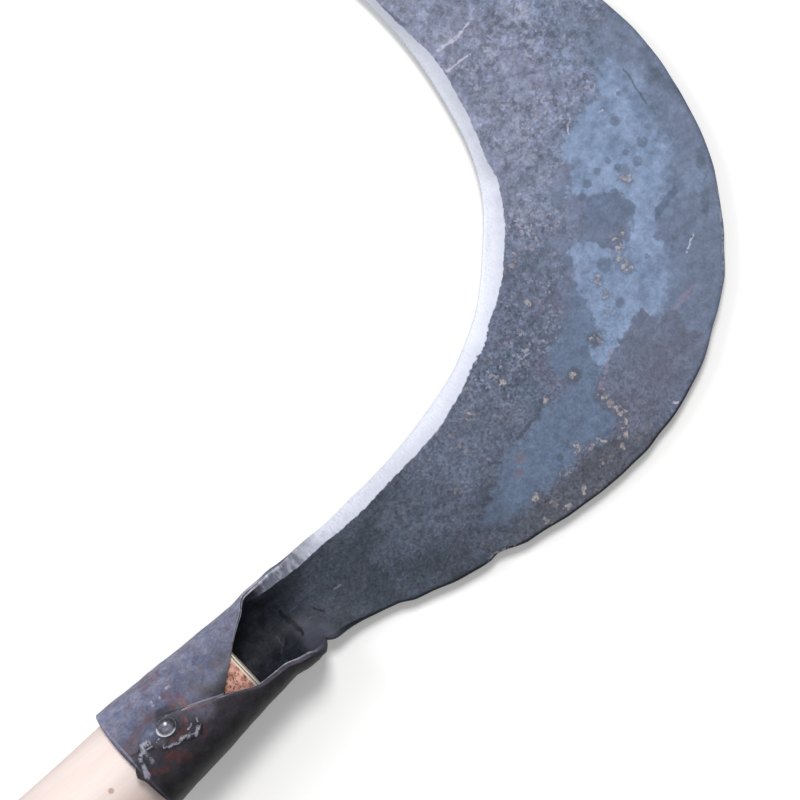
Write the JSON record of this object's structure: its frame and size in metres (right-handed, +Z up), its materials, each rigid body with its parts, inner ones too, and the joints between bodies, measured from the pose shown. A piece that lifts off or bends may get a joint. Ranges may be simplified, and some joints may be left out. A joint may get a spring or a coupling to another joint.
{
  "type": "sickle",
  "caption": "Hand-forged sickle: broad crescent blade with a ground inner bevel, its root rolled into a lapped socket on a pale wooden handle held by a round-headed nail.",
  "frame": {"origin": "on the blade's flat back, on the handle's line, 24 mm in front of the neck", "axes": "+X along the handle towards the blade, +Y towards the cutting side, +Z up out of the bevelled face"},
  "size_m": [0.5471, 0.1821, 0.0549],
  "materials": {
    "forged_steel": "blue-black forge scale, bright ground bevel",
    "handle_wood": "pale bare wood, smooth turned",
    "nail_steel": "dark steel, rubbed bright on the dome"
  },
  "bodies": {
    "root": {"forged_head": "forged_steel", "handle": "handle_wood", "socket_nail": "nail_steel"}
  },
  "joints": []
}
